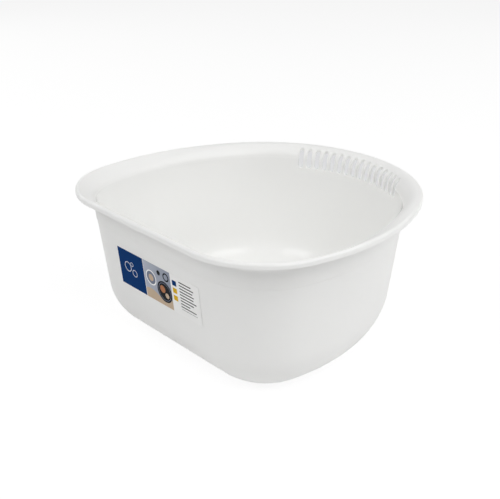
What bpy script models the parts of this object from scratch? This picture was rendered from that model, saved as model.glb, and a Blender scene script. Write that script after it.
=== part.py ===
"""D-shaped washing-up basin: one moulded shell with a rolled rim and a row of drain slots, and its label."""

from math import atan, atan2, cos, pi, radians, sin, sqrt, tan

import bmesh
import bpy
from mathutils import Matrix, Vector

# Overall size, in metres. The straight side faces -Y, and the origin is under the middle.
WIDTH = 0.300
DEPTH = 0.290
HEIGHT = 0.140

# Plan outline of the rim: a straight front, then a corner arc, a side arc and a back arc on each half.
# The side arc carries the widest line and gives way to the back arc where it has turned by SIDE_SWEEP.
WIDEST_FROM_FRONT = 0.1103
SIDE_SWEEP = radians(29.3)
RIM_CORNER_RADIUS = 0.0779

# Where the outer wall's straight lean would meet the table, as insets from the rim
BASE_SIDE_INSET = 0.0270
BASE_FRONT_INSET = 0.0302
BASE_BACK_INSET = 0.0315

# Floor: rounded up into the wall, with a flat foot around a slightly raised panel
BASE_FILLET_RADIUS = 0.0494
FLOOR_CORNER_RADIUS = 0.0130
FOOT_WIDTH = 0.0035
PANEL_RAMP = 0.0025
PANEL_RISE = 0.0010
PANEL_CORNER_RADIUS = 0.0120

# Wall thickness. The band under the rim is thicker, which shows outside as a small ledge.
WALL = 0.0018
BAND_STEP = 0.0004
BAND_DEPTH = 0.0248
LEDGE_HEIGHT = 0.0003

# Rim section: the wall flares out, rolls over and turns down into a short lip
RIM_OVERHANG = 0.0146
FLARE_RADIUS = 0.0125
ROLL_RADIUS = 0.0029
LIP_DROP = 0.0052

# Drain slots in the back wall, spread evenly about its middle. Each is cut by an upright finger that has a
# round foot SLOT_DROP below the rim, and passes up through the flare as far as its round outer end.
SLOT_COUNT = 16
SLOT_PITCH = 0.0086
SLOT_WIDTH = 0.0052
SLOT_DROP = 0.0215
SLOT_RIM_INSET = 0.0115
SLOT_BOWL_CLEARANCE = 0.0060
SLOT_TOP_CLEARANCE = 0.0020

# Label on the straight wall: a film whose right end has come slightly away
LABEL_WIDTH = 0.1152
LABEL_HEIGHT = 0.0369
LABEL_BOTTOM = 0.0605
LABEL_THICKNESS = 0.0002
LABEL_GAP = 0.0003
LABEL_LIFT = 0.0006
LABEL_LIFT_LENGTH = 0.0120

# Facets along the half outline, the section, the slot ends and the lifted end of the label
FLAT_STEPS = 4
CORNER_STEPS = 10
SIDE_STEPS = 3
SHOULDER_STEPS = 6
BACK_STEPS = 14
FILLET_STEPS = 8
WALL_STEPS = 3
FLARE_STEPS = 6
ROLL_STEPS = 4
SLOT_ROUND_STEPS = 4
LABEL_LIFT_STEPS = 4

MERGE_DISTANCE = 0.00001
SHARP_ANGLE = radians(35)
LIP_BOTTOM = HEIGHT - LIP_DROP
WIDEST = WIDEST_FROM_FRONT - DEPTH / 2
LEAN = atan((BASE_FRONT_INSET - RIM_OVERHANG) / LIP_BOTTOM)
SKIN = WALL / cos(LEAN)


class Outline:
    """Half of a D-shaped outline: a straight front and three arcs, each tangent to the next."""

    def __init__(self, half_width, front, back, corner_radius):
        self.values = (half_width, front, back, corner_radius)
        self.front = front
        depth = back - WIDEST
        spare = 1 - sin(SIDE_SWEEP) - cos(SIDE_SWEEP)
        self.side_radius = (half_width * (1 - sin(SIDE_SWEEP)) - depth * cos(SIDE_SWEEP)) / spare
        self.back_radius = (depth * (1 - cos(SIDE_SWEEP)) - half_width * sin(SIDE_SWEEP)) / spare
        self.side_x = half_width - self.side_radius
        self.back_y = back - self.back_radius
        self.corner_radius = corner_radius
        self.corner_y = front + corner_radius
        rise = self.corner_y - WIDEST
        self.flat_half = self.side_x + sqrt((self.side_radius - corner_radius) ** 2 - rise ** 2)
        self.corner_end = atan2(rise, self.flat_half - self.side_x)

    def blend(self, other, share):
        """The outline part of the way from this one to another."""
        return Outline(*(a + (b - a) * share for a, b in zip(self.values, other.values)))

    def points(self, inset):
        """Plan points from the front centre round to the back centre, all moved inwards by inset."""
        flat = [(x, self.front + inset) for x in spread(0, self.flat_half, FLAT_STEPS)]
        corner = arc(self.flat_half, self.corner_y, self.corner_radius - inset,
                     -pi / 2, self.corner_end, CORNER_STEPS)
        radius = self.side_radius - inset
        side = arc(self.side_x, WIDEST, radius, self.corner_end, 0, SIDE_STEPS)
        shoulder = arc(self.side_x, WIDEST, radius, 0, SIDE_SWEEP, SHOULDER_STEPS)
        back = arc(0, self.back_y, self.back_radius - inset, SIDE_SWEEP, pi / 2, BACK_STEPS)
        back[-1] = (0.0, back[-1][1])
        return flat + corner[1:] + side[1:] + shoulder[1:] + back[1:]


def spread(start, end, steps):
    """Evenly spaced values from start to end."""
    return [start + (end - start) * i / steps for i in range(steps + 1)]


def arc(centre_x, centre_y, radius, start, end, steps):
    return [(centre_x + radius * cos(t), centre_y + radius * sin(t)) for t in spread(start, end, steps)]


def rim_outline():
    return Outline(WIDTH / 2, -DEPTH / 2, DEPTH / 2, RIM_CORNER_RADIUS)


def wall_outline(height):
    """Outline of the outer wall's leaning face, from the table up to the level of the lip's edge."""
    base = Outline(WIDTH / 2 - BASE_SIDE_INSET, -DEPTH / 2 + BASE_FRONT_INSET, DEPTH / 2 - BASE_BACK_INSET,
                   FLOOR_CORNER_RADIUS + fillet_point(0, BASE_FILLET_RADIUS)[0])
    top = Outline(WIDTH / 2 - RIM_OVERHANG, -DEPTH / 2 + RIM_OVERHANG, DEPTH / 2 - RIM_OVERHANG,
                  RIM_CORNER_RADIUS - RIM_OVERHANG)
    return base.blend(top, height / LIP_BOTTOM)


def fillet_point(turn, radius):
    """Inset from the wall's outer face, and height, on the base round; turn 0 is its level end."""
    height = BASE_FILLET_RADIUS - radius * cos(turn)
    inset = BASE_FILLET_RADIUS / cos(LEAN) - (BASE_FILLET_RADIUS - height) * tan(LEAN) - radius * sin(turn)
    return inset, height


def flare_place():
    """Height where the inner wall starts to flare, and the flare centre's inset from the rim's outline."""
    start = HEIGHT - FLARE_RADIUS * (1 - sin(LEAN))
    inner_wall = RIM_OVERHANG + (LIP_BOTTOM - start) * tan(LEAN) + SKIN
    return start, inner_wall - FLARE_RADIUS * cos(LEAN)


def at_height(points, height):
    return [(x, y, height) for x, y in points]


def floor_rings():
    """The raised panel's edge and the foot's inner edge, on the floor's upper face."""
    half_width, front, back, _ = wall_outline(0).values
    foot_inner = fillet_point(0, BASE_FILLET_RADIUS - WALL)[0] + FOOT_WIDTH
    foot = Outline(half_width - foot_inner, front + foot_inner, back - foot_inner,
                   PANEL_CORNER_RADIUS + PANEL_RAMP)
    return [at_height(foot.points(PANEL_RAMP), WALL + PANEL_RISE), at_height(foot.points(0), WALL)]


def wall_rings():
    """The base round and the leaning wall, up to the flare, on the inner face."""
    rings = []
    for turn in spread(0, pi / 2 - LEAN, FILLET_STEPS):
        inset, height = fillet_point(turn, BASE_FILLET_RADIUS - WALL)
        rings.append(at_height(wall_outline(height).points(inset), height))
    fillet_top = rings[-1][0][2]
    ledge = LIP_BOTTOM - BAND_DEPTH
    heights = spread(fillet_top, ledge, WALL_STEPS)[1:] + [ledge + LEDGE_HEIGHT, flare_place()[0]]
    for height in heights:
        rings.append(at_height(wall_outline(height).points(SKIN), height))
    return rings


def rim_rings():
    """The flare, the roll and the lip, on the face that shows from above."""
    start, crest_inset = flare_place()
    wall_edge = wall_outline(start).points(SKIN)
    rim = rim_outline()
    crest = rim.points(crest_inset)
    rings = []
    for turn in spread(LEAN, pi / 2, FLARE_STEPS)[1:]:
        share = 1 - cos(turn) / cos(LEAN)
        points = [(a[0] + (b[0] - a[0]) * share, a[1] + (b[1] - a[1]) * share)
                  for a, b in zip(wall_edge, crest)]
        rings.append(at_height(points, HEIGHT - FLARE_RADIUS * (1 - sin(turn))))
    for turn in spread(0, pi / 2, ROLL_STEPS):
        inset = ROLL_RADIUS * (1 - sin(turn))
        rings.append(at_height(rim.points(inset), HEIGHT - ROLL_RADIUS * (1 - cos(turn))))
    rings.append(at_height(rim.points(0), LIP_BOTTOM))
    return rings


def loft(shape, rings):
    """Joins each row of vertices to the next with quads."""
    for lower, upper in zip(rings, rings[1:]):
        for i in range(len(lower) - 1):
            shape.faces.new((lower[i], upper[i], upper[i + 1], lower[i + 1]))


def new_collection(name):
    collection = bpy.data.collections.new(name)
    bpy.context.scene.collection.children.link(collection)
    return collection


def new_object(name, shape, collection):
    mesh = bpy.data.meshes.new(name)
    shape.to_mesh(mesh)
    shape.free()
    made = bpy.data.objects.new(name, mesh)
    collection.objects.link(made)
    return made


def plain_material(name, colour, roughness):
    material = bpy.data.materials.new(name)
    material.use_nodes = True
    shader = material.node_tree.nodes["Principled BSDF"]
    shader.inputs["Base Color"].default_value = (*colour, 1)
    shader.inputs["Roughness"].default_value = roughness
    shader.inputs["Metallic"].default_value = 0
    return material


def smooth_shading(made):
    made.data.shade_smooth()
    made.data.set_sharp_from_angle(angle=SHARP_ANGLE)


def make_basin(collection, cutters):
    """Lofts half of the inner face ring by ring, mirrors it, thickens it outwards and cuts the slots."""
    rings = floor_rings() + wall_rings() + rim_rings()
    shape = bmesh.new()
    lofted = [[shape.verts.new(point) for point in ring] for ring in rings]
    shape.faces.new(lofted[0])
    loft(shape, lofted)
    bmesh.ops.recalc_face_normals(shape, faces=shape.faces[:])
    basin = new_object("basin", shape, collection)

    band = basin.vertex_groups.new(name="thick_band")
    band_bottom = LIP_BOTTOM - BAND_DEPTH + LEDGE_HEIGHT / 2
    band.add([v.index for v in basin.data.vertices if v.co.z > band_bottom], 1.0, "REPLACE")

    mirror = basin.modifiers.new("other_half", "MIRROR")
    mirror.merge_threshold = MERGE_DISTANCE
    shell = basin.modifiers.new("wall", "SOLIDIFY")
    shell.thickness = WALL + BAND_STEP
    shell.vertex_group = band.name
    shell.thickness_vertex_group = WALL / (WALL + BAND_STEP)
    shell.use_even_offset = True
    shell.offset = -1
    slots = basin.modifiers.new("drain_slots", "BOOLEAN")
    slots.operation = "DIFFERENCE"
    slots.solver = "EXACT"
    slots.object = cutters
    basin.data.materials.append(plain_material("white_plastic", (0.80, 0.80, 0.77), 0.35))
    smooth_shading(basin)
    return basin


def make_slot_cutters(collection):
    """The upright fingers that cut the slots, from inside the bowl to short of the rim's edge."""
    outline = wall_outline(HEIGHT - SLOT_DROP)
    inner_radius = outline.back_radius - SKIN
    end_radius = DEPTH / 2 - outline.back_y - SLOT_RIM_INSET - SLOT_WIDTH / 2
    shape = bmesh.new()
    for index in range(SLOT_COUNT):
        turn = (index - (SLOT_COUNT - 1) / 2) * SLOT_PITCH / inner_radius
        place = Matrix.Translation((0, outline.back_y, 0)) @ Matrix.Rotation(-turn, 4, "Z")
        add_finger(shape, inner_radius - SLOT_BOWL_CLEARANCE, end_radius, place)
    bmesh.ops.remove_doubles(shape, verts=shape.verts[:], dist=MERGE_DISTANCE)
    bmesh.ops.recalc_face_normals(shape, faces=shape.faces[:])
    cutters = new_object("slot_cutters", shape, collection)
    cutters.hide_render = True
    cutters.display_type = "WIRE"
    return cutters


def add_finger(shape, inner_end, end_centre, place):
    """A finger along +Y, lofted upwards from the line of its round foot, and then put in its place."""
    radius = SLOT_WIDTH / 2
    foot = HEIGHT - SLOT_DROP
    levels = [(radius * sin(turn), foot + radius * (1 - cos(turn)))
              for turn in spread(0, pi / 2, SLOT_ROUND_STEPS)]
    levels.append((radius, HEIGHT + SLOT_TOP_CLEARANCE))
    rings = []
    for half_width, height in levels:
        round_end = arc(0, end_centre, half_width, 0, pi, 2 * SLOT_ROUND_STEPS)
        plan = [(half_width, inner_end), *round_end, (-half_width, inner_end)]
        rings.append([shape.verts.new(place @ Vector((x, y, height))) for x, y in plan])
    loft(shape, [ring + ring[:1] for ring in rings])
    shape.faces.new(rings[-1])


def make_label(collection):
    """A film parallel to the leaning front wall, whose right end curves away from it."""
    lift_start = LABEL_WIDTH / 2 - LABEL_LIFT_LENGTH
    columns = [(-LABEL_WIDTH / 2, 0.0)]
    for share in spread(0, 1, LABEL_LIFT_STEPS):
        columns.append((lift_start + LABEL_LIFT_LENGTH * share, LABEL_LIFT * share ** 2))
    shape = bmesh.new()
    edges = []
    for height in (LABEL_BOTTOM, LABEL_BOTTOM + LABEL_HEIGHT):
        wall_y = wall_outline(height).front
        edges.append([shape.verts.new((x, wall_y - LABEL_GAP - lift, height)) for x, lift in columns])
    for i in range(len(columns) - 1):
        shape.faces.new((edges[0][i], edges[0][i + 1], edges[1][i + 1], edges[1][i]))
    label = new_object("label", shape, collection)
    film = label.modifiers.new("film", "SOLIDIFY")
    film.thickness = LABEL_THICKNESS
    film.use_even_offset = True
    film.offset = 1
    label.data.materials.append(plain_material("printed_film", (0.72, 0.74, 0.76), 0.3))
    smooth_shading(label)
    return label


def main():
    for old in list(bpy.data.objects):
        bpy.data.objects.remove(old, do_unlink=True)
    cutters = make_slot_cutters(new_collection("basin_cutters"))
    parts = new_collection("basin")
    make_basin(parts, cutters)
    make_label(parts)


main()
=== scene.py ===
"""White moulded washing-up basin with drain slots and a printed label, on a pale studio floor."""

from math import acos, atan, atan2, cos, pi, radians, sin, sqrt, tan

import bmesh
import bpy
from mathutils import Matrix, Vector


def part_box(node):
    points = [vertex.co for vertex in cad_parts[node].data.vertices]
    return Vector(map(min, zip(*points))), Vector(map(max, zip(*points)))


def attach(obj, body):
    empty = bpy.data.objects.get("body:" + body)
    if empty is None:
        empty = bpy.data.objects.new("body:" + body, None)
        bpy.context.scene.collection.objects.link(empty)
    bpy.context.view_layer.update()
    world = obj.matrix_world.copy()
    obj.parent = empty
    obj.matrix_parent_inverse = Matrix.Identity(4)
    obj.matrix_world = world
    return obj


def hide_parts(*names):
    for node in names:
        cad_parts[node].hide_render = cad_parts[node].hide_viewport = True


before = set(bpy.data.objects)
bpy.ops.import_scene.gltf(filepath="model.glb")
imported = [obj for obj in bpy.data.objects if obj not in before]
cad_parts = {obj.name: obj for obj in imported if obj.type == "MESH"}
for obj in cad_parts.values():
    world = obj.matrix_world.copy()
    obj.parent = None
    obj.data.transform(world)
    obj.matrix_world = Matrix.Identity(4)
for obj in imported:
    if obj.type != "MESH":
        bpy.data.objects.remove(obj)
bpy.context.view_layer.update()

basin_low, basin_high = (Vector(corner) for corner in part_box("basin"))

# Sizes in metres, as in the CAD source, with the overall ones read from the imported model. The near ones
# and the label's gap and lift are the scene's own: along the front and the sides the flare is a slope that
# falls from a tighter roll, and the film lies closer to the wall.
WIDTH, DEPTH, HEIGHT = basin_high - basin_low
WIDEST_FROM_FRONT = 0.1103
SIDE_SWEEP = radians(29.3)
RIM_CORNER_RADIUS = 0.0779
BASE_SIDE_INSET = 0.0270
BASE_FRONT_INSET = 0.0302
BASE_BACK_INSET = 0.0315
BASE_FILLET_RADIUS = 0.0494
FLOOR_CORNER_RADIUS = 0.0130
FOOT_WIDTH = 0.0035
PANEL_RAMP = 0.0025
PANEL_RISE = 0.0010
PANEL_CORNER_RADIUS = 0.0120
WALL = 0.0018
BAND_STEP = 0.0004
BAND_DEPTH = 0.0248
LEDGE_HEIGHT = 0.0003
RIM_OVERHANG = 0.0146
FLARE_RADIUS = 0.0125
ROLL_RADIUS = 0.0029
NEAR_FLARE_RADIUS = 0.0100
NEAR_ROLL_RADIUS = 0.0023
NEAR_SLOPE = radians(32)
LIP_DROP = 0.0052
SLOT_COUNT = 16
SLOT_PITCH = 0.0086
SLOT_WIDTH = 0.0052
SLOT_DROP = 0.0215
SLOT_RIM_INSET = 0.0115
LABEL_WIDTH = 0.1152
LABEL_HEIGHT = 0.0369
LABEL_BOTTOM = 0.0605
LABEL_THICKNESS = 0.0002
LABEL_GAP = 0.00008
LABEL_LIFT = 0.00015
LABEL_LIFT_LENGTH = 0.0120

LIP_BOTTOM = HEIGHT - LIP_DROP
WIDEST = WIDEST_FROM_FRONT - DEPTH / 2
LEAN = atan((BASE_FRONT_INSET - RIM_OVERHANG) / LIP_BOTTOM)
SKIN = WALL / cos(LEAN)

# Mesh density, as steps along each stretch of the half outline and of the section, and over the label
FLAT_STEPS = 12
CORNER_STEPS = 26
SIDE_STEPS = 10
SHOULDER_STEPS = 14
BACK_STEPS = 8
PANEL_STEPS = 8
FILLET_STEPS = 20
WALL_STEPS = 9
LEDGE_STEPS = 4
CREST_STEPS = 10
ROLL_STEPS = 18
LIP_STEPS = 2
LABEL_LENGTH_STEPS = 48
LABEL_HEIGHT_STEPS = 14

# Round edges that the solids leave sharp, and the patch of skin that frames each slot
SLOT_INNER_ROUND = 0.0005
SLOT_OUTER_ROUND = 0.0003
LIP_ROUND = 0.0005
CREASE_MARGIN = 0.0005
EDGE_STEPS = 4
SLOT_MARGIN = 0.0016
SLOT_ARC_STEPS = 3
SLOT_SIDE_STEPS = 12
SLOT_WALL_STEPS = 2

# How often a slot's point is corrected, and where the two halves merge and the label's edges stay sharp
SLOT_FIT_ROUNDS = 3
MERGE_DISTANCE = 0.00001
LABEL_SHARP_ANGLE = radians(50)


def spread(start, end, steps):
    """Evenly spaced values from start to end."""
    return [start + (end - start) * i / steps for i in range(steps + 1)]


class Outline:
    """Half of a D-shaped outline: a straight front and three arcs, each tangent to the next."""

    def __init__(self, half_width, front, back, corner_radius):
        self.values = (half_width, front, back, corner_radius)
        self.front = front
        depth = back - WIDEST
        spare = 1 - sin(SIDE_SWEEP) - cos(SIDE_SWEEP)
        self.side_radius = (half_width * (1 - sin(SIDE_SWEEP)) - depth * cos(SIDE_SWEEP)) / spare
        self.back_radius = (depth * (1 - cos(SIDE_SWEEP)) - half_width * sin(SIDE_SWEEP)) / spare
        self.side_x = half_width - self.side_radius
        self.back_y = back - self.back_radius
        self.corner_radius = corner_radius
        self.corner_y = front + corner_radius
        rise = self.corner_y - WIDEST
        self.flat_half = self.side_x + sqrt((self.side_radius - corner_radius) ** 2 - rise ** 2)
        self.corner_end = atan2(rise, self.flat_half - self.side_x)

    def blend(self, other, share):
        """The outline part of the way from this one to another."""
        return Outline(*(a + (b - a) * share for a, b in zip(self.values, other.values)))

    def point(self, column, inset):
        """Plan point at a column, which is a stretch's name and the share or turn along it."""
        stretch, along = column
        if stretch == "flat":
            return self.flat_half * along, self.front + inset
        if stretch == "corner":
            turn = -pi / 2 + (self.corner_end + pi / 2) * along
            return self.on_arc(self.flat_half, self.corner_y, self.corner_radius - inset, turn)
        if stretch == "side":
            return self.on_arc(self.side_x, WIDEST, self.side_radius - inset, self.corner_end * (1 - along))
        if stretch == "shoulder":
            return self.on_arc(self.side_x, WIDEST, self.side_radius - inset, SIDE_SWEEP * along)
        return self.on_arc(0, self.back_y, self.back_radius - inset, pi / 2 - along)

    @staticmethod
    def on_arc(centre_x, centre_y, radius, turn):
        return centre_x + radius * cos(turn), centre_y + radius * sin(turn)


rim_outline = Outline(WIDTH / 2, -DEPTH / 2, DEPTH / 2, RIM_CORNER_RADIUS)
wall_top = Outline(WIDTH / 2 - RIM_OVERHANG, -DEPTH / 2 + RIM_OVERHANG, DEPTH / 2 - RIM_OVERHANG,
                   RIM_CORNER_RADIUS - RIM_OVERHANG)


def fillet_point(turn, radius):
    """Inset from the wall's outer face, and height, on the base round; turn 0 is its level end."""
    height = BASE_FILLET_RADIUS - radius * cos(turn)
    inset = BASE_FILLET_RADIUS / cos(LEAN) - (BASE_FILLET_RADIUS - height) * tan(LEAN) - radius * sin(turn)
    return inset, height


wall_base = Outline(WIDTH / 2 - BASE_SIDE_INSET, -DEPTH / 2 + BASE_FRONT_INSET, DEPTH / 2 - BASE_BACK_INSET,
                    FLOOR_CORNER_RADIUS + fillet_point(0, BASE_FILLET_RADIUS)[0])


def wall_outline(height):
    """Outline of the outer wall's leaning face, from the table up to the level of the lip's edge."""
    return wall_base.blend(wall_top, height / LIP_BOTTOM)


class RimSection:
    """The rim's section: an arc up from the leaning wall, a slope outward from it, and the roll.

    It describes the face that shows from above. The arc starts at the height start, run is the distance in
    plan from there to the crest, and arc and crest are where the arc and the slope end, up the section.
    """

    def __init__(self, flare_radius, roll_radius, slope):
        self.radius, self.roll, self.slope = flare_radius, roll_radius, slope
        self.crest_inset = roll_radius * (1 + sin(slope))
        crest_height = HEIGHT - roll_radius * (1 - cos(slope))
        wall_inset = RIM_OVERHANG + LIP_BOTTOM * tan(LEAN) + SKIN
        drop = (wall_inset - self.crest_inset) * tan(slope)
        bend = (crest_height - drop) / (1 - tan(LEAN) * tan(slope))
        turning = pi / 2 - slope - LEAN
        reach = flare_radius * tan(turning / 2)
        self.start = bend - reach * cos(LEAN)
        self.run = wall_inset - self.start * tan(LEAN) - self.crest_inset
        self.arc = flare_radius * turning
        self.crest = self.arc - reach + (wall_inset - bend * tan(LEAN) - self.crest_inset) / cos(slope)
        self.base = wall_outline(self.start)

    def point(self, column, climb, depth):
        """A point by its distance up the section from where the flare starts."""
        if climb <= 0:
            height = self.start + climb * cos(LEAN) - depth * sin(LEAN)
            return (*wall_outline(height).point(column, SKIN - depth / cos(LEAN)), height)
        turn = LEAN + min(climb, self.arc) / self.radius
        along = max(0.0, climb - self.arc)
        run = self.radius * cos(LEAN) - (self.radius - depth) * cos(turn) + along * sin(turn)
        rise = (self.radius - depth) * sin(turn) - self.radius * sin(LEAN) + along * cos(turn)
        inner, crest = self.base.point(column, SKIN), rim_outline.point(column, self.crest_inset)
        x, y = Vector(inner).lerp(Vector(crest), run / self.run)
        return x, y, self.start + rise


back_section = RimSection(FLARE_RADIUS, ROLL_RADIUS, 0.0)
FLARE_START = back_section.start
FLARE_CENTRE_INSET = back_section.crest_inset + back_section.run - FLARE_RADIUS * cos(LEAN)
BAND_WALL = WALL + BAND_STEP
floor_outline = wall_outline(0)


# A row is a function that gives the point at a column and at a depth below the face that shows from above.

def floor_row(outline, inset, height):
    return lambda column, depth: (*outline.point(column, inset), height - depth)


def fillet_row(turn):
    def at(column, depth):
        inset, height = fillet_point(turn, BASE_FILLET_RADIUS - WALL + depth)
        return (*wall_outline(height).point(column, inset), height)
    return at


def section_at(column):
    """The rim's section at a column: the near one, which turns into the back one along the shoulder."""
    stretch, along = column
    if stretch == "back":
        return back_section
    share = (1 + cos(pi * along)) / 2 if stretch == "shoulder" else 1.0
    return RimSection(FLARE_RADIUS + (NEAR_FLARE_RADIUS - FLARE_RADIUS) * share,
                      ROLL_RADIUS + (NEAR_ROLL_RADIUS - ROLL_RADIUS) * share, NEAR_SLOPE * share)


def wall_row(climb):
    """A row of the wall or the flare, by its distance up the back's section from the start of the flare.

    Where a section starts its flare at another height, the rows of the wall keep their height, and the rows
    above the foot of the slots' patch spread out to that section's own crest.
    """
    def at(column, depth):
        section = section_at(column)
        lower = (back_section.start - section.start) / cos(LEAN)
        stretch = (section.crest - back_section.crest - lower) / (back_section.crest - PATCH_FOOT)
        return section.point(column, climb + lower + max(0.0, climb - PATCH_FOOT) * stretch, depth)
    return at


def roll_row(share):
    """A row of the roll, by its share of the way from the crest to the lip."""
    def at(column, depth):
        section = section_at(column)
        turn = -section.slope + (pi / 2 + section.slope) * share
        radius = section.roll - depth
        inset = section.roll - radius * sin(turn)
        return (*rim_outline.point(column, inset), HEIGHT - section.roll + radius * cos(turn))
    return at


def lip_row(height):
    return lambda column, depth: (*rim_outline.point(column, depth), height)


def climb_at(height, depth):
    """Where the leaning wall has a height, at a depth."""
    return (height - FLARE_START + depth * sin(LEAN)) / cos(LEAN)


def flare_climb_at(inset, depth):
    """Where the flare lies at an inset from the rim's outline, at a depth."""
    return (acos((inset - FLARE_CENTRE_INSET) / (FLARE_RADIUS - depth)) - LEAN) * FLARE_RADIUS


SLOT_RADIUS = SLOT_WIDTH / 2
SLOT_FOOT = HEIGHT - SLOT_DROP + SLOT_RADIUS
SLOT_END = SLOT_RIM_INSET + SLOT_RADIUS
SLOT_ROWS = 2 * SLOT_ARC_STEPS + SLOT_SIDE_STEPS
SLOT_COLUMNS = 2 * SLOT_ARC_STEPS
slot_outline = wall_outline(HEIGHT - SLOT_DROP)
SLOT_TURN = SLOT_PITCH / (slot_outline.back_radius - SKIN)
PATCH_FOOT = climb_at(HEIGHT - SLOT_DROP - SLOT_MARGIN, 0)


def patch_climbs():
    """Climbs of the rows that frame the slots, denser beside their round ends."""
    foot, end = climb_at(SLOT_FOOT, 0), flare_climb_at(SLOT_END, 0)
    high = flare_climb_at(SLOT_RIM_INSET, 0) + SLOT_MARGIN
    return (spread(PATCH_FOOT, foot, SLOT_ARC_STEPS) + spread(foot, end, SLOT_SIDE_STEPS)[1:]
            + spread(end, high, SLOT_ARC_STEPS)[1:])


def section_rows():
    """Every row from panel to lip with its wall thickness, and the index of the slots' first row."""
    half_width, front, back, _ = floor_outline.values
    foot_inner = fillet_point(0, BASE_FILLET_RADIUS - WALL)[0] + FOOT_WIDTH
    foot = Outline(half_width - foot_inner, front + foot_inner, back - foot_inner,
                   PANEL_CORNER_RADIUS + PANEL_RAMP)
    rows = [(floor_row(foot, PANEL_RAMP + CREASE_MARGIN, WALL + PANEL_RISE), WALL)]
    for share in spread(0, 1, PANEL_STEPS):
        rise = PANEL_RISE * (1 + cos(pi * share)) / 2
        rows.append((floor_row(foot, PANEL_RAMP * (1 - share), WALL + rise), WALL))
    rows += [(fillet_row(turn), WALL) for turn in spread(0, pi / 2 - LEAN, FILLET_STEPS)]
    fillet_top = climb_at(fillet_point(pi / 2 - LEAN, BASE_FILLET_RADIUS - WALL)[1], 0)
    ledge = climb_at(LIP_BOTTOM - BAND_DEPTH, 0)
    below = spread(fillet_top, ledge - CREASE_MARGIN, WALL_STEPS)[1:] + [ledge]
    rows += [(wall_row(climb), WALL) for climb in below]
    for share in spread(0, 1, LEDGE_STEPS)[1:]:
        thickness = WALL + BAND_STEP * (1 - cos(pi * share)) / 2
        rows.append((wall_row(ledge + LEDGE_HEIGHT * share), thickness))
    rows.append((wall_row(ledge + LEDGE_HEIGHT + CREASE_MARGIN), BAND_WALL))
    patch_row = len(rows)
    climbs = patch_climbs() + spread(patch_climbs()[-1], back_section.crest, CREST_STEPS)[1:]
    rows += [(wall_row(climb), BAND_WALL) for climb in climbs]
    rows += [(roll_row(share), BAND_WALL) for share in spread(0, 1, ROLL_STEPS)[1:]]
    lip = spread(HEIGHT - ROLL_RADIUS, LIP_BOTTOM + LIP_ROUND, LIP_STEPS)[1:]
    rows += [(lip_row(height), BAND_WALL) for height in lip]
    return rows, patch_row


def outline_columns():
    """Every column of the half outline, and the index of the first one among the slots."""
    columns = [("flat", share) for share in spread(0, 1, FLAT_STEPS)]
    columns += [("corner", share) for share in spread(0, 1, CORNER_STEPS)[1:]]
    columns += [("side", share) for share in spread(0, 1, SIDE_STEPS)[1:]]
    columns += [("shoulder", share) for share in spread(0, 1, SHOULDER_STEPS)[1:]]
    slots_end = SLOT_TURN * SLOT_COUNT / 2
    columns += [("back", turn) for turn in spread(pi / 2 - SIDE_SWEEP, slots_end, BACK_STEPS)[1:-1]]
    first_slot = len(columns)
    columns += [("back", turn) for turn in spread(slots_end, 0, SLOT_COUNT // 2 * SLOT_COLUMNS)]
    return columns, first_slot


def patch_border(first_column, first_row):
    """Grid places round a slot's patch, in the order of the slot's rings."""
    last_column, last_row = first_column + SLOT_COLUMNS, first_row + SLOT_ROWS
    bottom = [(column, first_row) for column in range(first_column, last_column)]
    right = [(last_column, row) for row in range(first_row, last_row)]
    top = [(column, last_row) for column in range(last_column, first_column, -1)]
    left = [(first_column, row) for row in range(last_row, first_row, -1)]
    return bottom + right + top + left


def slot_ring(turn, wider, depth):
    """A slot's cut at a depth: a round foot, straight sides and a round end in plan, widened all round."""
    radius = SLOT_RADIUS + wider
    side = Vector((-cos(turn), sin(turn)))

    def at(across, climb):
        """The skin's point that lies across from the slot's middle plane."""
        column = turn
        for _ in range(SLOT_FIT_ROUNDS):
            point = wall_row(climb)(("back", column), depth)
            miss = across - side.dot(Vector(point[:2]) - Vector((0, slot_outline.back_y)))
            column -= miss / slot_outline.back_radius
        return point

    def foot(angle):
        return at(radius * cos(angle), climb_at(SLOT_FOOT + radius * sin(angle), depth))

    def end(angle):
        return at(radius * cos(angle), flare_climb_at(SLOT_END - radius * sin(angle), depth))

    eighth = pi / 4
    straight = spread(climb_at(SLOT_FOOT, depth), flare_climb_at(SLOT_END, depth), SLOT_SIDE_STEPS)[1:-1]
    bottom = [foot(angle) for angle in spread(-3 * eighth, -eighth, SLOT_COLUMNS)[:-1]]
    right = [foot(angle) for angle in spread(-eighth, 0, SLOT_ARC_STEPS)]
    right += [at(radius, climb) for climb in straight]
    right += [end(angle) for angle in spread(0, eighth, SLOT_ARC_STEPS)[:-1]]
    top = [end(angle) for angle in spread(eighth, 3 * eighth, SLOT_COLUMNS)[:-1]]
    left = [end(angle) for angle in spread(3 * eighth, pi, SLOT_ARC_STEPS)]
    left += [at(-radius, climb) for climb in reversed(straight)]
    left += [foot(angle) for angle in spread(-pi, -3 * eighth, SLOT_ARC_STEPS)[:-1]]
    return bottom + right + top + left


def slot_steps():
    """Widening and depth of each ring through a slot, from one face to the other, with round edges."""
    inner = [(SLOT_INNER_ROUND * (1 - sin(turn)), SLOT_INNER_ROUND * (1 - cos(turn)))
             for turn in spread(0, pi / 2, EDGE_STEPS)]
    outer = [(SLOT_OUTER_ROUND * (1 - sin(turn)), BAND_WALL - SLOT_OUTER_ROUND * (1 - cos(turn)))
             for turn in spread(pi / 2, 0, EDGE_STEPS)]
    through = [(0.0, depth) for depth in spread(inner[-1][1], outer[0][1], SLOT_WALL_STEPS)[1:-1]]
    return inner + through + outer


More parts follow.
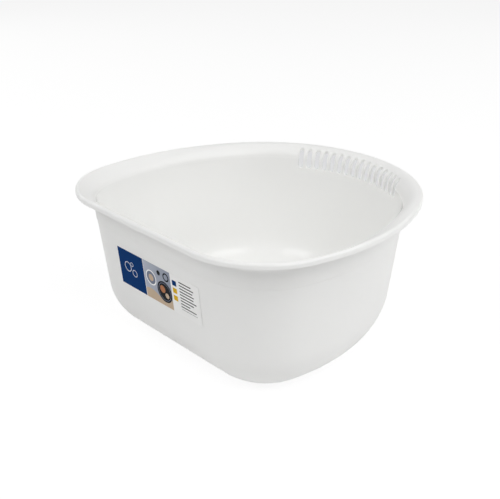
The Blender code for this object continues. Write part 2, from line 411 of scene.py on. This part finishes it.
def build_half_shell():
    """Half of the moulding, x >= 0: both its faces, the slots through them and the lip's round edge."""
    rows, patch_row = section_rows()
    columns, first_slot = outline_columns()
    shape = bmesh.new()
    grid = {}

    def vertex(column, row, under):
        key = column, row, under
        if key not in grid:
            at, thickness = rows[row]
            grid[key] = shape.verts.new(at(columns[column], thickness if under else 0.0))
        return grid[key]

    def face(corners, material):
        shape.faces.new(corners).material_index = material

    def join(first, second, material):
        for a, b, c, d in zip(first, second, second[1:], first[1:]):
            face((a, b, c, d), material)

    for under in (False, True):
        for row in range(len(rows) - 1):
            for column in range(len(columns) - 1):
                if column < first_slot or not patch_row <= row < patch_row + SLOT_ROWS:
                    face((vertex(column, row, under), vertex(column, row + 1, under),
                          vertex(column + 1, row + 1, under), vertex(column + 1, row, under)), int(under))
        face([vertex(column, 0, under) for column in range(len(columns))], int(under))

    for index in range(SLOT_COUNT // 2):
        border = patch_border(first_slot + index * SLOT_COLUMNS, patch_row)
        turn = SLOT_TURN * (SLOT_COUNT / 2 - index - 0.5)
        rings = [[shape.verts.new(point) for point in slot_ring(turn, *step)] for step in slot_steps()]
        rings.insert(0, [vertex(*place, False) for place in border])
        rings.append([vertex(*place, True) for place in border])
        for first, second in zip(rings, rings[1:]):
            join(first + first[:1], second + second[:1], int(second is rings[-1]))

    rim_edge = [[vertex(column, len(rows) - 1, False) for column in range(len(columns))]]
    rounding = [(LIP_ROUND * (1 - cos(turn)), LIP_BOTTOM + LIP_ROUND * (1 - sin(turn)))
                for turn in spread(0, pi / 2, EDGE_STEPS)]
    profile = rounding[1:] + [(BAND_WALL - depth, height) for depth, height in reversed(rounding)][:-1]
    for depth, height in profile:
        rim_edge.append([shape.verts.new(lip_row(height)(column, depth)) for column in columns])
    rim_edge.append([vertex(column, len(rows) - 1, True) for column in range(len(columns))])
    for first, second in zip(rim_edge, rim_edge[1:]):
        join(first, second, 0)
    bmesh.ops.recalc_face_normals(shape, faces=shape.faces[:])
    return shape


def new_object(name, shape, materials):
    """An object in the scene with the mesh of a shape, which is freed."""
    mesh = bpy.data.meshes.new(name)
    shape.to_mesh(mesh)
    shape.free()
    for material in materials:
        mesh.materials.append(material)
    made = bpy.data.objects.new(name, mesh)
    bpy.context.scene.collection.objects.link(made)
    return made


def apply_modifiers(made):
    """Keeps the mesh that the object's modifiers make, and drops them."""
    depsgraph = bpy.context.evaluated_depsgraph_get()
    mesh = bpy.data.meshes.new_from_object(made.evaluated_get(depsgraph))
    made.modifiers.clear()
    made.data = mesh


def make_shell(inside, outside):
    """The basin: its half mirrored into one closed moulding."""
    shell = new_object("basin_shell", build_half_shell(), [inside, outside])
    mirror = shell.modifiers.new("other_half", "MIRROR")
    mirror.merge_threshold = MERGE_DISTANCE
    apply_modifiers(shell)
    shell.data.shade_smooth()
    return shell


def make_label(material):
    """The printed film on the straight wall, its right end curved away from it."""
    columns = spread(-LABEL_WIDTH / 2, LABEL_WIDTH / 2, LABEL_LENGTH_STEPS)
    heights = spread(LABEL_BOTTOM, LABEL_BOTTOM + LABEL_HEIGHT, LABEL_HEIGHT_STEPS)
    shape = bmesh.new()
    lifted_from = LABEL_WIDTH / 2 - LABEL_LIFT_LENGTH
    rows = []
    for height in heights:
        wall_y = wall_outline(height).front
        row = []
        for x in columns:
            lift = LABEL_LIFT * (max(0.0, x - lifted_from) / LABEL_LIFT_LENGTH) ** 2
            row.append(shape.verts.new((x, wall_y - LABEL_GAP - lift, height)))
        rows.append(row)
    uv = shape.loops.layers.uv.new("print")
    for lower, upper in zip(rows, rows[1:]):
        for i in range(len(lower) - 1):
            face = shape.faces.new((lower[i], lower[i + 1], upper[i + 1], upper[i]))
            for loop in face.loops:
                x, _, z = loop.vert.co
                loop[uv].uv = (x / LABEL_WIDTH + 0.5, (z - LABEL_BOTTOM) / LABEL_HEIGHT)
    label = new_object("label_film", shape, [material])
    film = label.modifiers.new("film", "SOLIDIFY")
    film.thickness = LABEL_THICKNESS
    film.offset = 1
    apply_modifiers(label)
    label.data.shade_smooth()
    label.data.set_sharp_from_angle(angle=LABEL_SHARP_ANGLE)
    return label


# Where a Mix node has its colours: the two that go in and the one that comes out
LOW_COLOUR = 6
HIGH_COLOUR = 7
MIXED_COLOUR = 2


class Nodes:
    """The node tree of a material or the world, with short calls to add and link nodes."""

    def __init__(self, owner):
        owner.use_nodes = True
        self.tree = owner.node_tree

    def add(self, kind, links=None, **settings):
        made = self.tree.nodes.new(kind)
        for key, value in settings.items():
            setattr(made, key, value)
        for socket, value in (links or {}).items():
            self.set(made, socket, value)
        return made

    def set(self, made, socket, value):
        if isinstance(value, bpy.types.NodeSocket):
            self.tree.links.new(value, made.inputs[socket])
        else:
            made.inputs[socket].default_value = value

    def math(self, operation, *values, **settings):
        """A calculation with numbers."""
        made = self.add("ShaderNodeMath", dict(enumerate(values)), operation=operation, **settings)
        return made.outputs["Value"]

    def vector(self, operation, *values):
        """A calculation with vectors, which gives a number for a distance or a dot product."""
        made = self.add("ShaderNodeVectorMath", dict(enumerate(values)), operation=operation)
        return made.outputs["Value" if operation in ("DISTANCE", "DOT_PRODUCT") else "Vector"]

    def noise(self, where, scale, detail):
        """A soft random value from 0 to 1 at a place."""
        made = self.add("ShaderNodeTexNoise", {"Vector": where, "Scale": scale, "Detail": detail})
        return made.outputs["Fac"]

    def ramp(self, value, start, end, low=0.0, high=1.0):
        """A smooth change from low to high, as the value goes from start to end."""
        made = self.add("ShaderNodeMapRange", {"Value": value, "From Min": start, "From Max": end,
                                               "To Min": low, "To Max": high},
                        interpolation_type="SMOOTHSTEP")
        return made.outputs["Result"]

    def shader(self, **settings):
        """The material's own shader, with the given sockets set or linked; _ stands for a space."""
        made = self.tree.nodes["Principled BSDF"]
        for socket, value in settings.items():
            self.set(made, socket.replace("_", " "), value)

    def mix(self, share, low, high):
        """A colour between two, each a socket or a tuple of linear red, green and blue."""
        made = self.add("ShaderNodeMix", {0: share}, data_type="RGBA")
        for socket, colour in ((LOW_COLOUR, low), (HIGH_COLOUR, high)):
            self.set(made, socket, colour if isinstance(colour, bpy.types.NodeSocket) else (*colour, 1))
        return made.outputs[MIXED_COLOUR]


# Plastic: its linear colour, the clouds in it, its grain and its reflection, and the heights between which
# the inside's gloss turns to satin
WHITE = (0.93, 0.93, 0.917)
CLOUD_SHADE = 0.985
CLOUD_SCALE = 14.0
CLOUD_DETAIL = 3.0
GRAIN_DETAIL = 2.0
PLASTIC_IOR = 1.49
PLASTIC_SHEEN = 0.28
GLOSS_END = 0.120
SATIN_START = 0.130


def plastic(name, roughness, grain, grain_height, rim_roughness=None):
    """Moulded white plastic: faint cloudiness, a grain, and a gloss that may turn to satin at the rim."""
    material = bpy.data.materials.new(name)
    nodes = Nodes(material)
    where = nodes.add("ShaderNodeTexCoord").outputs["Object"]
    clouds = nodes.noise(where, CLOUD_SCALE, CLOUD_DETAIL)
    colour = nodes.mix(clouds, [channel * CLOUD_SHADE for channel in WHITE], WHITE)
    texture = nodes.noise(where, 1 / grain, GRAIN_DETAIL)
    bump = nodes.add("ShaderNodeBump", {"Height": texture, "Distance": grain_height})
    if rim_roughness:
        height = nodes.add("ShaderNodeSeparateXYZ", {"Vector": where}).outputs["Z"]
        roughness = nodes.ramp(height, GLOSS_END, SATIN_START, roughness, rim_roughness)
    nodes.shader(Base_Color=colour, Normal=bump.outputs["Normal"], Roughness=roughness, IOR=PLASTIC_IOR,
                 Specular_IOR_Level=PLASTIC_SHEEN)
    return material


# Print, in millimetres from the film's lower left corner: a blue panel, a picture panel and a white one
PRINT_WIDTH = LABEL_WIDTH * 1000
PRINT_HEIGHT = LABEL_HEIGHT * 1000
PANEL = PRINT_WIDTH / 3
PRINT_BORDER = 0.6
LEFT_BORDER = 1.0
LOW_BORDER = 0.3
NAVY = (0.002, 0.038, 0.160)
PAPER = (0.95, 0.95, 0.94)
MIST = (0.68, 0.71, 0.79)
SLATE = (0.20, 0.23, 0.31)
CHARCOAL = (0.022, 0.024, 0.028)
SAND = (0.60, 0.47, 0.34)
CLAY = (0.46, 0.20, 0.10)
YELLOW = (0.75, 0.47, 0.03)
GREY_INK = (0.05, 0.05, 0.06)
FILM_ROUGHNESS = 0.4
FILM_SHEEN = 0.01

# Picture's ground: the panels over which it would darken in full, and the sand below it, whose edge swells
# about a level, by a rise, at a turn in radians for each millimetre
FADE_PANELS = 2.6
SAND_LEVEL = 8.5
SAND_RISE = 2.2
SAND_TURN = 0.17

# Round motifs: centre, radius and colour, and for a ring the width of its line
BUBBLES = ((14.0, 20.5, 4.6, MIST, 0.8), (23.5, 16.5, 3.2, MIST, 0.7), (20.5, 24.5, 1.9, MIST, 0.6))
DISHES = ((48.5, 22.0, 7.4, PAPER, None), (48.5, 22.0, 6.2, SLATE, None), (48.5, 22.0, 3.4, SAND, None),
          (66.5, 14.5, 10.2, CHARCOAL, None), (66.5, 14.5, 8.4, SLATE, 0.5), (64.0, 16.5, 3.6, CLAY, None),
          (69.5, 11.5, 2.6, SAND, None), (60.5, 31.0, 2.4, CHARCOAL, None),
          (70.5, 30.0, 3.4, CHARCOAL, 1.4))

# Tiles: centre, width, height and colour
TILES = ((82.0, 29.0, 5.6, 5.0, NAVY), (82.0, 21.8, 5.6, 5.0, YELLOW), (82.0, 14.6, 5.6, 5.0, YELLOW))

# Plain rules: left end, greatest length, least length as a share of it, pitch, the share of the pitch that
# is ink, and the lowest and highest place
LINES_LEFT = 88.5
LINES_LENGTH = 22.0
LINES_SHORTEST = 0.55
LINES_PITCH = 2.9
LINES_SHARE = 0.36
LINES_ENDS = (6.5, 33.0)


def printed_film():
    """The label's print: three panels with plain round motifs, tiles and rules."""
    material = bpy.data.materials.new("label_print")
    nodes = Nodes(material)
    place = nodes.add("ShaderNodeUVMap", uv_map="print").outputs["UV"]
    place = nodes.vector("MULTIPLY", place, (PRINT_WIDTH, PRINT_HEIGHT, 0))
    split = nodes.add("ShaderNodeSeparateXYZ", {"Vector": place})
    x, y = split.outputs["X"], split.outputs["Y"]

    def within(value, low, high):
        return nodes.math("COMPARE", value, (low + high) / 2, (high - low) / 2)

    def block(left, low, right, high):
        return nodes.math("MULTIPLY", within(x, left, right), within(y, low, high))

    def round_motif(centre_x, centre_y, radius, line):
        away = nodes.vector("DISTANCE", place, (centre_x, centre_y, 0))
        if line:
            return nodes.math("COMPARE", away, radius, line / 2)
        return nodes.math("LESS_THAN", away, radius)

    picture = nodes.mix(nodes.math("MULTIPLY", x, 1 / (FADE_PANELS * PANEL)), MIST, SLATE)
    wave = nodes.math("SINE", nodes.math("MULTIPLY", x, SAND_TURN))
    swell = nodes.math("MULTIPLY_ADD", wave, SAND_RISE, SAND_LEVEL)
    picture = nodes.mix(nodes.math("LESS_THAN", y, swell), picture, SAND)
    for centre_x, centre_y, radius, colour, line in DISHES:
        picture = nodes.mix(round_motif(centre_x, centre_y, radius, line), picture, colour)

    blue = NAVY
    for centre_x, centre_y, radius, colour, line in BUBBLES:
        blue = nodes.mix(round_motif(centre_x, centre_y, radius, line), blue, colour)

    row = nodes.math("FLOOR", nodes.math("DIVIDE", y, LINES_PITCH))
    ragged = nodes.add("ShaderNodeTexWhiteNoise", {"W": row}, noise_dimensions="1D").outputs["Value"]
    shortest = LINES_SHORTEST * LINES_LENGTH
    length = nodes.math("MULTIPLY_ADD", ragged, LINES_LENGTH - shortest, shortest)
    lines = nodes.math("LESS_THAN", nodes.math("SUBTRACT", x, LINES_LEFT), length)
    lines = nodes.math("MULTIPLY", lines, nodes.math("GREATER_THAN", x, LINES_LEFT))
    lines = nodes.math("MULTIPLY", lines, within(y, *LINES_ENDS))
    share = nodes.math("FRACT", nodes.math("DIVIDE", y, LINES_PITCH))
    lines = nodes.math("MULTIPLY", lines, nodes.math("LESS_THAN", share, LINES_SHARE))
    white = nodes.mix(lines, PAPER, GREY_INK)
    for centre_x, centre_y, width, height, colour in TILES:
        across, up = width / 2, height / 2
        tile = block(centre_x - across, centre_y - up, centre_x + across, centre_y + up)
        white = nodes.mix(tile, white, colour)

    colour = nodes.mix(block(LEFT_BORDER, LOW_BORDER, PANEL, PRINT_HEIGHT), white, blue)
    colour = nodes.mix(block(PANEL + PRINT_BORDER, LOW_BORDER, 2 * PANEL, PRINT_HEIGHT), colour, picture)
    nodes.shader(Base_Color=colour, Roughness=FILM_ROUGHNESS, Specular_IOR_Level=FILM_SHEEN)
    return material


# Painted shadow: the basin's shadow on the floor is painted into the floor's colour, not cast by a lamp.
# A grey that is painted on the floor at a fixed place, and that no lamp casts: two round ends, what lies
# between them, and a soft edge. It starts under the basin. Its place and tone are chosen so that light grey
# shows through the slots, as it does in the photograph.
SHADE_ENDS = ((-0.01, 0.02), (-0.291, 0.285))
SHADE_RADII = (0.09, 0.200)
SHADE_EDGE = 0.018
SHADE_COLOUR = (0.715, 0.717, 0.727)

# Floor: its size and how far it lies below the foot, the tone that lights the basin, and what the floor
# shows where it is seen, which is a glow and some of the lamps' light
FLOOR_SIZE = 6
FLOOR_DROP = 0.0002
FLOOR_PAPER = 0.90
FLOOR_GLOW = 0.90
FLOOR_LIT = 0.15
BACKDROP_SHINE = 0.65


def background_rays(nodes):
    """How much of the white background a ray meets: all of it if seen, some of it in a reflection."""
    path = nodes.add("ShaderNodeLightPath").outputs
    seen = nodes.math("MAXIMUM", path["Is Camera Ray"], path["Is Transmission Ray"])
    return nodes.math("MAXIMUM", seen, nodes.math("MULTIPLY", path["Is Glossy Ray"], BACKDROP_SHINE))


def floor_shade(nodes):
    """How far a floor point lies inside the painted shadow, from 0 to 1."""
    start, end = (Vector((*point, 0)) for point in SHADE_ENDS)
    along = end - start
    first_radius, last_radius = SHADE_RADII
    where = nodes.add("ShaderNodeTexCoord").outputs["Object"]
    offset = nodes.vector("SUBTRACT", where, start)
    dot = nodes.vector("DOT_PRODUCT", offset, along / along.length_squared)
    share = nodes.math("ADD", dot, 0.0, use_clamp=True)
    nearest = nodes.add("ShaderNodeVectorMath", {0: along, "Scale": share}, operation="SCALE")
    away = nodes.vector("DISTANCE", offset, nearest.outputs["Vector"])
    radius = nodes.math("MULTIPLY_ADD", share, last_radius - first_radius, first_radius)
    return nodes.ramp(nodes.math("SUBTRACT", radius, away), -SHADE_EDGE, SHADE_EDGE)


def make_floor():
    """A floor that glows white where it is seen, and still shows the shadow that the lamps cast, with a
    painted shadow of the basin in its colour.
    """
    shape = bmesh.new()
    bmesh.ops.create_grid(shape, x_segments=1, y_segments=1, size=FLOOR_SIZE)
    material = bpy.data.materials.new("studio_floor")
    nodes = Nodes(material)
    # The floor's tone: white, turning to the painted shadow's grey behind the basin
    tone = nodes.mix(floor_shade(nodes), (1, 1, 1), SHADE_COLOUR)
    paper = nodes.add("ShaderNodeBsdfDiffuse", {"Color": (*[FLOOR_PAPER] * 3, 1)})
    dimmed = nodes.add("ShaderNodeVectorMath", {0: tone, "Scale": FLOOR_LIT}, operation="SCALE")
    shown = nodes.add("ShaderNodeBsdfDiffuse", {"Color": dimmed.outputs[0]})
    glow = nodes.add("ShaderNodeEmission", {"Color": tone, "Strength": FLOOR_GLOW})
    lit = nodes.add("ShaderNodeAddShader", {0: shown.outputs[0], 1: glow.outputs[0]})
    choice = nodes.add("ShaderNodeMixShader", {0: background_rays(nodes), 1: paper.outputs[0],
                                               2: lit.outputs[0]})
    nodes.set(nodes.tree.nodes["Material Output"], "Surface", choice.outputs[0])
    floor = new_object("studio_floor", shape, [material])
    floor.location.z = -FLOOR_DROP


# Lamps: name, azimuth and elevation in degrees, width and height in metres, power in watts, and whether
# the lamp is there for the gloss alone. The others light dull surfaces and are hidden from the gloss. Most
# powers are fitted to the photograph's levels, and rounded.
LAMPS = (
    ("fill_right", -8, 26, 0.9, 0.9, 2.5, False),
    ("fill_front", -80, 34, 0.9, 0.9, 3.9, False),
    ("high_right", 0, 52, 1.3, 1.3, 14.4, False),
    ("high_front", -90, 52, 1.3, 1.3, 11.4, False),
    ("front_left", 225, 28, 1.3, 1.3, 5.0, False),
    ("left", 180, 28, 1.3, 1.3, 7.1, False),
    ("back_right", 45, 28, 1.3, 1.3, 11.7, False),
    ("back", 90, 20, 1.3, 1.3, 2.8, False),
    ("top", 0, 88, 1.3, 1.3, 3.4, False),
    ("softbox_right", -8, 22, 0.95, 1.2, 14.0, True),
    ("softbox_front", -80, 28, 0.95, 0.9, 10.5, True),
    ("camera_lamp", -45, 34, 0.08, 0.08, 0.8, True),
)
LAMP_DISTANCE = 2.0
STUDIO_CENTRE = Vector((0, 0, HEIGHT / 2))


def make_lamps():
    """Broad fills that light the object evenly, and the two softboxes and small lamp for its gloss."""
    for name, azimuth, elevation, width, height, power, shines in LAMPS:
        across, up = cos(radians(elevation)), sin(radians(elevation))
        away = Vector((across * cos(radians(azimuth)), across * sin(radians(azimuth)), up))
        lamp = bpy.data.lights.new(name, "AREA")
        lamp.shape = "RECTANGLE"
        lamp.size = width
        lamp.size_y = height
        lamp.energy = power
        made = bpy.data.objects.new(name, lamp)
        made.location = STUDIO_CENTRE + away * LAMP_DISTANCE
        made.rotation_euler = (-away).to_track_quat("-Z", "Y").to_euler()
        made.visible_camera = False
        made.visible_diffuse = not shines
        made.visible_glossy = shines
        bpy.context.scene.collection.objects.link(made)


def make_world():
    """A backdrop that is white where it is seen, and lights no dull surface."""
    world = bpy.data.worlds.new("studio")
    nodes = Nodes(world)
    dark = nodes.add("ShaderNodeBackground", {"Strength": 0.0})
    white = nodes.add("ShaderNodeBackground", {"Color": (1, 1, 1, 1), "Strength": 1.0})
    choice = nodes.add("ShaderNodeMixShader", {0: background_rays(nodes), 1: dark.outputs[0],
                                               2: white.outputs[0]})
    nodes.set(nodes.tree.nodes["World Output"], "Surface", choice.outputs[0])
    bpy.context.scene.world = world


# Camera, as fitted to the photograph: place in metres, three turns, and lens and sensor in millimetres
CAMERA_PLACE = (0.5236, -0.49846, 0.39239)
CAMERA_AZIMUTH = radians(47.459)
CAMERA_ELEVATION = radians(23.671)
CAMERA_ROLL = radians(-0.509)
CAMERA_LENS = 59.98
SENSOR_WIDTH = 36
CLIP_START = 0.01


def make_camera():
    """The camera, turned, tilted down and rolled about its line of sight."""
    turned, tilted = CAMERA_AZIMUTH, CAMERA_ELEVATION
    right = Vector((cos(turned), sin(turned), 0))
    ahead = Vector((-sin(turned) * cos(tilted), cos(turned) * cos(tilted), -sin(tilted)))
    down = ahead.cross(right)
    image_right = right * cos(CAMERA_ROLL) + down * sin(CAMERA_ROLL)
    image_up = right * sin(CAMERA_ROLL) - down * cos(CAMERA_ROLL)
    data = bpy.data.cameras.new("camera")
    data.sensor_fit = "HORIZONTAL"
    data.sensor_width = SENSOR_WIDTH
    data.lens = CAMERA_LENS
    data.clip_start = CLIP_START
    camera = bpy.data.objects.new("camera", data)
    axes = Matrix((image_right, image_up, -ahead)).transposed()
    camera.matrix_world = Matrix.Translation(CAMERA_PLACE) @ axes.to_4x4()
    bpy.context.scene.collection.objects.link(camera)
    bpy.context.scene.camera = camera


inside = plastic("inside_plastic", roughness=0.06, grain=0.004, grain_height=0.000004, rim_roughness=0.32)
outside = plastic("outside_plastic", roughness=0.50, grain=0.0006, grain_height=0.00003)
shell = make_shell(inside, outside)
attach(shell, "root")
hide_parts("basin")

label = make_label(printed_film())
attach(label, "root")
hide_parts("label")

make_floor()
make_lamps()
make_world()
make_camera()
bpy.context.scene.view_settings.view_transform = "Standard"
